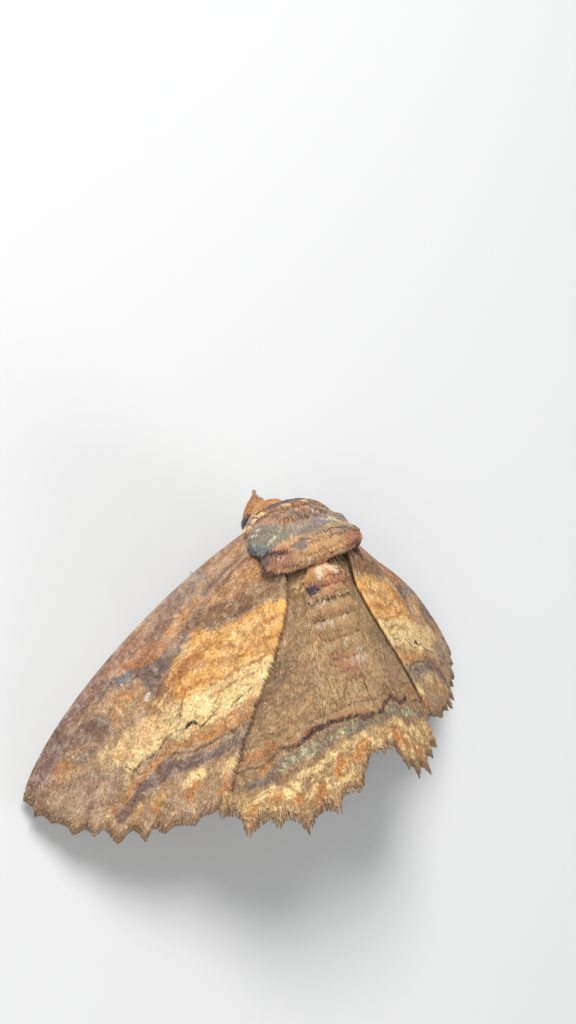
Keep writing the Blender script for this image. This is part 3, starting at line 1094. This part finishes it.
HIND_MARKS = (
    ("camel", 2.2, 0.9, 0.9, 0.2, ((1, 4), (2.5, 7), (1.5, 11))),
    ("maroon", 0.9, 0.8, 0.8, 0.5, ((1.5, 2.2), (3.6, 2))),
    ("umber", 0.8, 0.9, 0.75, 0.7, ((1, 3.6), (2.6, 3.5), (4.4, 3.6))),
    ("cream", 0.5, 0.9, 0.6, 1.3, ((1.2, 3.2), (3.4, 3.3))),
    ("dusk", 1.2, 0.9, 0.8, 0.4, ((5.2, 8.2), (6.8, 9), (8.2, 10))),
    ("tan", 0.5, 0.9, 0.55, 0.4, ((4, 4.5), (5, 6.6))),
    ("dusk", 0.26, 0.8, 0.5, 0.4, ((1, 9.6), (3, 9.8), (5, 10.3), (8, 10.9))),
    ("dusk", 0.22, 0.8, 0.4, 0.4, ((1, 6.7), (4, 7.1), (6, 7.4))),
    ("tan", 0.42, 0.9, 0.7, 0.35, ((1, 11.1), (4.5, 11.3), (8, 11.7), (9.5, 12))),
    ("rust", 0.3, 0.9, 0.5, 0.5, ((4, 10.5), (5.5, 11.6), (6.5, 12.3))),
    ("tan", 0.35, 0.8, 0.7, 0.2, ((0.2, 12.4), (4, 12.35), (6, 12.9))),
    ("line", 0.08, 0.6, 0.75, 0.2, ((0.2, 12.15), (1.2, 12), (4, 12.05), (5.2, 12.45), (6.6, 12.72),
        (7.1, 12.4), (7.6, 12.3), (8.8, 12.5), (9.9, 12.6), (11.5, 12.8))),
    ("rust", 0.24, 0.8, 0.75, 0.2, ((0.9, 12.75), (1.8, 12.5), (3.5, 12.45), (4.9, 12.8), (6.3, 13.2))),
    ("maroon", 0.32, 0.7, 1, 0, ((0.5, 13.2), (1.3, 13), (1.8, 12.78), (3, 12.84), (3.5, 12.62),
        (4.1, 12.8), (4.9, 13.02), (5.4, 13.3), (6.3, 13.52), (7.2, 13.32))),
    ("rust", 0.55, 0.7, 0.9, 0.3, ((7.8, 13.1), (9.7, 13.3), (11, 13.6))),
    ("maroon", 0.12, 0.6, 0.8, 0.2, ((7.6, 13.5), (8.4, 13.95), (9.6, 14), (11, 14.2))),
    ("moss", 0.48, 0.5, 0.95, 0.2, ((0.4, 13.8), (1.6, 13.5), (2.8, 13.5), (3.9, 13.5))),
    ("moss", 0.52, 0.5, 0.9, 0.2, ((4.2, 13.8), (6, 14.15), (7.8, 14.5))),
    ("lichen", 0.46, 0.7, 0.95, 1.05, ((5, 14), (6.6, 14.3), (7.6, 14.5))),
    ("lichen", 0.34, 0.8, 0.9, 1.25, ((2.4, 13.4), (4, 13.6))),
    ("tan", 0.14, 0.8, 0.9, 0.1, ((1.9, 13.05), (3.4, 12.95), (5, 13.4), (6.5, 13.78), (7.4, 13.65))),
    ("slate", 0.5, 0.5, 0.9, 0.25, ((8.2, 14.95), (9.6, 15.3), (11.4, 15.2))),
    ("blue", 0.3, 0.8, 0.8, 0.4, ((8.6, 14.9), (10, 15.2))),
    ("orange", 0.34, 0.8, 0.9, 0.3, ((8.2, 14.1), (8.8, 14.25))),
    ("umber", 0.3, 0.8, 0.8, 0.2, ((7.9, 14.8), (8.4, 15.05))),
    ("camel", 1.7, 0.3, 0.95, 0, ((0.8, 15.3), (2.6, 15.7), (5, 16.7), (8, 17), (11, 16.7),
        (12.6, 16))),
    ("cream", 1.3, 0.6, 0.8, 1.25, ((0.6, 15.2), (2.6, 15.5), (5, 16.5), (8, 16.8), (11, 16.6),
        (12.6, 15.9))),
    ("cream", 0.4, 0.8, 0.9, 0.4, ((1.6, 14.3), (3, 14.35), (4, 14.7), (5.6, 15.4), (6.6, 15.6))),
    ("cream", 0.5, 0.8, 0.9, 0.45, ((7, 16), (7.8, 16.6))),
    ("cream", 0.35, 0.8, 0.9, 0.4, ((8.6, 15.8), (9.6, 16), (10.4, 16))),
    ("cream", 0.3, 0.8, 0.8, 0.4, ((3.2, 16.4), (4.2, 17.2))),
    ("orange", 0.6, 0.8, 0.95, 0.25, ((1.9, 14.7), (2.5, 15.3))),
    ("orange", 0.6, 0.8, 0.95, 0.25, ((3.5, 15.3), (4.1, 16.1))),
    ("orange", 0.6, 0.8, 0.95, 0.2, ((5.4, 16.7), (6, 17.4))),
    ("orange", 0.45, 0.8, 0.9, 0.3, ((7, 16.8), (7.5, 17.2))),
    ("orange", 0.5, 0.8, 0.9, 0.3, ((8.4, 16.3), (9.1, 16.7))),
    ("orange", 0.5, 0.8, 0.9, 0.3, ((10.3, 16.4), (10.9, 16.9))),
    ("orange", 0.4, 0.8, 0.8, 0.3, ((0.4, 15.4), (1, 16))),
    ("umber", 0.09, 0.7, 0.8, 0.3, ((1, 16.1), (2.4, 16.4), (3.4, 17.2), (4.6, 17.6), (6, 18),
        (7.6, 17.6), (8.8, 17.4), (10.6, 17.2), (12, 16.4))),
    ("umber", 0.07, 0.7, 0.8, 0.4, ((1.4, 14.4), (2.8, 14.8), (4.4, 15.4), (5.6, 16), (7.4, 15.6),
        (9, 15.9), (11, 16))),
)
FORE_UNDER = (
    ("umber", 0.5, 0.8, 0.5, 0.2, ((14, 6), (14.6, 6.6))),
    ("umber", 0.45, 0.9, 0.5, 0.3, ((14, 4.2), (13.4, 7.5), (10.6, 10))),
    ("plum", 0.6, 0.9, 0.5, 0.3, ((20, 8), (18.2, 12), (13, 13.6))),
)
HIND_UNDER = (
    ("umber", 0.35, 0.8, 0.6, 0.2, ((6.5, 8), (6.9, 8.3))),
    ("umber", 0.35, 0.9, 0.5, 0.3, ((1, 10.8), (5, 11.4), (10, 11), (12.6, 9.8))),
    ("plum", 0.5, 0.9, 0.5, 0.3, ((1, 13.6), (6, 14.6), (11.5, 14.4), (13.6, 13))),
)


def wing_colours(wing, s, t, top=True):
    """The markings of a wing's upper or under side, with a browner edge at the fringe."""
    plan = wing_plan(wing, s, t)
    out, aft = plan[..., 0], plan[..., 1]
    hind = wing["level"] < 0.0
    seed = wing["seed"]
    if top:
        ground = "drab" if hind else "tan"
        strokes = (HIND_MARKS if hind else FORE_MARKS) + wing.get("extra", ())
    else:
        ground = "buff"
        strokes = HIND_UNDER if hind else FORE_UNDER
    streak = ripple(24.0 * t, 5.0 * s, seed + 1) * ramp(s, 0.03, 0.12) * (1.0 - ramp(t, 0.34, 0.5))
    streaked = 0.4 * (top and not hind)
    crawl = ripple(80.0 * s + 2.2 * ripple(out / 0.6, aft / 0.6, seed + 12), 24.0 * t, seed + 13)
    vein = np.exp(-(off_vein(wing, t) / 0.07) ** 2) * ramp(s, 0.1, 0.3)
    edge = ramp(s, 1.0 - 1.3 * wing["fringe"], 1.0 - 0.7 * wing["fringe"])
    colours = laid(
        painted(out, aft, linear(ground), strokes, seed),
        ("dust", streaked * ramp(streak, 0.55, 0.75)),
        ("sand", streaked * ramp(streak, 0.42, 0.36) * ramp(streak, 0.2, 0.3)),
        ("umber", 0.34 * ramp(crawl, 0.58, 0.78)),
        ("wheat" if hind else "bone", 0.17 * ramp(crawl, 0.42, 0.22)),
        ("bone", 0.12 * vein * ripple(out / 0.7, aft / 0.7, seed + 9)),
        ("fawn", 0.7 * edge),
    )
    patchy = 0.3 * ripple(out / 0.5, aft / 0.35, seed + 6) + 0.25 * ripple(out / 2, aft / 2, seed + 7)
    patchy = patchy + 0.45 * ripple(out / 0.19, aft / 0.13, seed + 8)
    return colours * (0.56 + 0.88 * patchy)[:, None]


membrane_finish = scaly("wing_membrane", 8000.0, 0.62, 0.1, 0.04)


def membrane(name, wing, side, node):
    """The sheet of one wing, from its root to where the fringe starts."""
    bpy.ops.object.select_all(action="DESELECT")
    bpy.ops.mesh.primitive_grid_add(x_subdivisions=SHEET_ROWS, y_subdivisions=SHEET_COLUMNS, size=1)
    sheet = bpy.context.active_object
    sheet.name = name
    sheet.data.name = name
    flat = points_of(sheet.data)
    s = wing["start"] + (flat[:, 0] + 0.5) * (1.0 - wing["fringe"] - wing["start"])
    t = flat[:, 1] + 0.5
    move_points(sheet.data, wing_surface(wing, side, s, t))
    finished(sheet, "SOLIDIFY", thickness=MEMBRANE, offset=0.0)
    cleaned(sheet, 1e-5)
    heights = points_of(sheet.data)[:, 2]
    count = len(flat)
    first_is_top = heights[:count].mean() > heights[count:].mean()
    sides = [wing_colours(wing, s, t, top) for top in (first_is_top, not first_is_top)]
    store(sheet.data, "mark", np.vstack(sides), "FLOAT_COLOR")
    dressed(sheet, membrane_finish)
    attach(sheet, "root")
    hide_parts(node)


for kind, hand, side, wing in WINGS:
    membrane(f"{kind}_sheet_{hand}", wing, side, f"{kind}_{hand}")


# ---------------------------------------------------------------- the scales of the wings
# Flat scales roof the membrane on both sides like shingles, each one wedge-shaped with a blunt
# end towards the wing's edge. One wedge is modelled, and a copy is set for every place of an
# even scatter, so that the markings are made of single coloured scales as on the moth.

WING_SCALE = drawn_lock((0.0, 0.2, 0.06, 0.0), (1.0, 0.5, 0.09, 0.0))
scale_finish = scaly("wing_scale", "tuft", 0.58, 0.12, 0.02)
MAP_SPAN, MAP_EDGE = 29.0, 3.0   # of wing across the scales' map, and of room ahead of its start
WING_AREA = 360.0        # more than any wing has, in square millimetres
# The scales of each side: their spacing, size, height in the membrane and seed
UPPER, UNDER = (0.094, 0.204, 0.45, 200), (0.19, 0.36, -0.45, 240)


def wing_scatter(wing, spacing, seed):
    """Even random places on a wing, from its root to the roots of the fringe, as s and t."""
    rng = np.random.default_rng(seed)
    tries = int(WING_AREA / spacing ** 2 * TRIES)
    s, t = rng.uniform(wing["start"], 1.0 - 0.8 * wing["fringe"], tries), rng.random(tries)
    step = 2e-3
    plan = wing_plan(wing, s, t)
    over_s = (wing_plan(wing, s + step, t) - plan) / step
    over_t = (wing_plan(wing, s, np.minimum(1, t + step)) - plan) / step
    area = np.abs(over_s[:, 0] * over_t[:, 1] - over_s[:, 1] * over_t[:, 0])
    kept = rng.random(tries) < area / np.percentile(area, 99)
    s, t = s[kept], t[kept]
    first = one_each(plan[kept], spacing)
    return s[first], t[first]


def wing_frames(wing, side, s, t, raised):
    """Roots, outward normals and the direction towards the wing's edge."""
    step = 1.5e-3
    here = wing_surface(wing, side, s, t, raised)
    forth = wing_surface(wing, side, s + step, t, raised) - here
    inwards = wing_surface(wing, side, s, np.minimum(1, t + step), raised)
    inwards = inwards - wing_surface(wing, side, s, np.maximum(0, t - step), raised)
    normals = unit(np.cross(forth, inwards)) * -side
    normals *= np.sign(normals[:, 2:3])
    return here, normals, unit(forth)


def map_spots(wing, s, t):
    """Where the locks with these roots have their patches in the map."""
    return (wing_plan(wing, s, t) + MAP_EDGE) / MAP_SPAN


def shingled(name, wing, side, layer):
    """The scales of one side of one wing, each in the colour of the spot that its end covers."""
    spacing, size, height, seed = layer
    seed += wing["seed"]
    top = height > 0
    s, t = wing_scatter(wing, spacing, seed)
    roots, normals, lies = wing_frames(wing, side, s, t, MEMBRANE * height)
    rng = np.random.default_rng(seed + 1)
    lies = lies + rng.normal(0.0, 0.1, lies.shape)
    lengths = size * rng.uniform(0.8, 1.2, len(s))
    widths = size * 0.56 * rng.uniform(0.8, 1.2, len(s))
    lifts = rng.uniform(radians(3), radians(11), len(s))
    ahead = wing_plan(wing, s + 0.01, t) - wing_plan(wing, s, t)
    stretch = np.linalg.norm(ahead, axis=1) / 0.01
    pick = rng.random(len(s))
    marks = laid(wing_colours(wing, np.minimum(1, s + 0.6 * size / stretch), t, top),
                 ("walnut", 0.4 * (pick < 0.1)), ("bone", 0.25 * (pick > 0.94)))
    combed(name, WING_SCALE, roots, normals if top else -normals, lies, lengths, widths, lifts, marks,
           map_spots(wing, s, t), scale_finish, seed + 2, smooth=False)


for kind, hand, side, wing in WINGS:
    shingled(f"{kind}_scales_{hand}", wing, side, UPPER)
    shingled(f"{kind}_underscales_{hand}", wing, side, UNDER)


# ---------------------------------------------------------------- the hair of the wings
# Long fine hairs stand on the inner half of each hindwing and lie aft and inwards over the side
# of the abdomen, so that no edge shows between them. Shorter ones along the inner margin of each
# forewing lie inwards over the hindwing. Each hair is a slim strand that bends down at its end.

STRAND = drawn_lock((0.0, 0.4, 0.3, 0.0), (0.5, 0.5, 0.3, 0.5), (1.0, 0.001, 0.001, -0.3))
strand_finish = scaly("strand", "tuft", 0.6, 0.14, 0.02, contrast=0.5)
# Where along the wing it stands, how deep into it, how many, how long, how far inwards, and seed
HAIR = {
    "forewing": ((0.06, 0.93), 0.03, 2400, 0.8, 1.4, 410),
    "hindwing": ((0.0, 0.6), 0.3, 4400, 0.9, 0.2, 400),
}


def haired(name, wing, side, slot_name, reach, depth, count, length, inwards, seed):
    """Hair along a wing's inner margin: between two shares of the wing's length, over a depth of
    its width, turned from the wing's own lie inwards to the body and hanging over the edge."""
    rng = np.random.default_rng(seed + side)
    s = rng.uniform(*reach, count)
    t = 1.0 - depth * rng.random(count) ** 1.3
    roots, normals, lies = wing_frames(wing, side, s, t, MEMBRANE * 0.4)
    turn = np.array([side * inwards, 0.0, 0.4 * inwards])
    lies = lies - turn * ramp(t, 1.0 - depth, 1.0)[:, None]
    lies = lies + rng.normal(0.0, 0.07, lies.shape)
    pick = rng.random(count)
    marks = laid(wing_colours(wing, np.minimum(1.0, s + 0.03), t) * 1.15,
                 ("bone", 0.3 * (pick > 0.8)), ("umber", 0.3 * (pick < 0.15)))
    combed(name, STRAND, roots, normals, lies, length * rng.uniform(0.6, 1.2, count),
           rng.uniform(0.06, 0.09, count), rng.uniform(0.0, 0.06, count), marks,
           map_spots(wing, s, t), strand_finish, seed + side + 1)


for kind, hand, side, wing in WINGS:
    haired(f"{kind}_hair_{hand}", wing, side, kind + "_scales", *HAIR[kind])


# ---------------------------------------------------------------- the fringes
# Beyond the membrane the edge of each wing is all long scales, in three ranks. They are gathered
# into spikes, three for each tooth of the edge, and worn away between them, most on the hindwing.

FRINGE_LOCK = drawn_lock((0.0, 0.3, 0.12, 0.0), (0.5, 0.5, 0.16, 0.03), (0.85, 0.36, 0.1, 0.01),
                         (1.0, 0.001, 0.001, -0.02))
fringe_finish = scaly("fringe", "tuft", 0.62, 0.14, 0.02, root_shade=0.15)
RANK_LOCKS, FRINGE_SEED = 800, 300
# Each rank: how far inside the outline it starts and how far short of it it ends, as shares of
# the fringe's length, and its height over the wing's own surface
RANKS = ((1.15, 0.0, -0.05), (0.95, 0.0, 0.0), (1.6, 0.35, 0.05))


def fringed(name, wing, side, seed):
    """The fringe of one wing: ranks of locks from the membrane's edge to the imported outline,
    drawn together into spikes with worn gaps between them."""
    rng = np.random.default_rng(seed)
    fringe, split, spikes, count = wing["fringe"], wing["split"], wing["teeth"] * 3, RANK_LOCKS
    ranks = []
    for start, reach, lift in RANKS:
        t = np.clip((np.arange(count) + rng.uniform(-0.4, 0.4, count) + 0.5) / count, 0.002, 0.998)
        s = np.full(count, 1.0 - start * fringe)
        place = t * spikes + 0.35 * np.sin(31.0 * t * wing["teeth"])
        spike = np.floor(place)
        aside = place - spike - 0.5
        own = ripple(spike * 3.7, spike * 0 + 0.5, seed)
        t_tip = np.clip(t - split * aside / spikes + rng.normal(0, 0.0012, count), 0.001, 0.999)
        worn = split * ((np.abs(aside) * 2) ** 1.6 + 0.5 * own)
        s_tip = 1.0 + fringe * (0.15 - reach - worn + rng.uniform(-0.12, 0.12, count))
        tips = wing_surface(wing, side, s_tip, t_tip, lift * 0.3 + rng.normal(0, 0.04, count))
        ranks.append((s, t, wing_surface(wing, side, s, t, lift), tips))
    s, t, roots, tips = (np.concatenate(parts) for parts in zip(*ranks))
    _, normals, _ = wing_frames(wing, side, s, t, 0.0)
    lies = unit(tips - roots)
    normals = unit(normals - dot(normals, lies)[:, None] * lies)
    marks = laid(wing_colours(wing, s, t), ("fawn", 0.45),
                 ("umber", 0.4 * ramp(ripple(t * 60, s * 0, seed), 0.55, 0.8)))
    combed(name, FRINGE_LOCK, roots, normals, lies, np.linalg.norm(tips - roots, axis=1),
           rng.uniform(0.1, 0.16, len(t)), np.zeros(len(t)), marks, map_spots(wing, s, t),
           fringe_finish, seed + 1)


for kind, hand, side, wing in WINGS:
    fringed(f"{kind}_fringe_{hand}", wing, side, FRINGE_SEED + wing["seed"])


# ---------------------------------------------------------------- the table, the light, the view
# The moth stands on a plain pale table under soft light from large panels: one ahead of it and
# above, which throws the shadows aft, one on its left, and a weaker one behind. Lengths here are
# in metres.

TABLE_SPAN = 1.6
PANELS = (
    ("key", (0.04, -0.26, 0.28), 0.2, 1.7),
    ("side", (0.3, 0.02, 0.22), 0.22, 0.55),
    ("back", (-0.2, 0.26, 0.24), 0.22, 0.4),
)
AIM = Vector((0.0, 0.0, 0.008))
SKY, SKY_STRENGTH = (0.9, 0.94, 1.0, 1.0), 0.3
CAMERA_SPOT = (0.051214, -0.002497, 0.075552)
CAMERA_RIGHT = (-0.76217884, 0.29912188, 0.5741163)
CAMERA_UP = (-0.18581534, -0.95061588, 0.24860031)
CAMERA_BACK = (0.62012586, 0.08279828, 0.78012074)
CAMERA_LENS, CAMERA_SENSOR, NEAREST_SEEN = 40.43, 36.0, 0.002

bpy.ops.object.select_all(action="DESELECT")
bpy.ops.mesh.primitive_plane_add(size=TABLE_SPAN, location=(0, 0, 0))
table = bpy.context.active_object
table.name = "table"
table_finish, table_shader = new_finish("pale_table")
wired(table_finish, table_shader, {"Base Color": (0.62, 0.62, 0.61, 1.0), "Roughness": 0.8})
table.data.materials.append(table_finish)

for name, where, size, power in PANELS:
    lamp = bpy.data.lights.new(name, "AREA")
    lamp.shape = "DISK"
    lamp.size = size
    lamp.energy = power
    holder = linked(name, lamp)
    holder.location = where
    holder.rotation_euler = (AIM - Vector(where)).to_track_quat("-Z", "Y").to_euler()

world = bpy.data.worlds.new("studio")
world.use_nodes = True
sky = world.node_tree.nodes["Background"].inputs
sky["Color"].default_value = SKY
sky["Strength"].default_value = SKY_STRENGTH
bpy.context.scene.world = world
bpy.context.scene.view_settings.view_transform = "Standard"

camera_data = bpy.data.cameras.new("camera")
camera_data.sensor_width = CAMERA_SENSOR
camera_data.lens = CAMERA_LENS
camera_data.clip_start = NEAREST_SEEN
camera = linked("camera", camera_data)
turn = Matrix((CAMERA_RIGHT, CAMERA_UP, CAMERA_BACK)).transposed().to_4x4()
camera.matrix_world = Matrix.Translation(CAMERA_SPOT) @ turn
bpy.context.scene.camera = camera
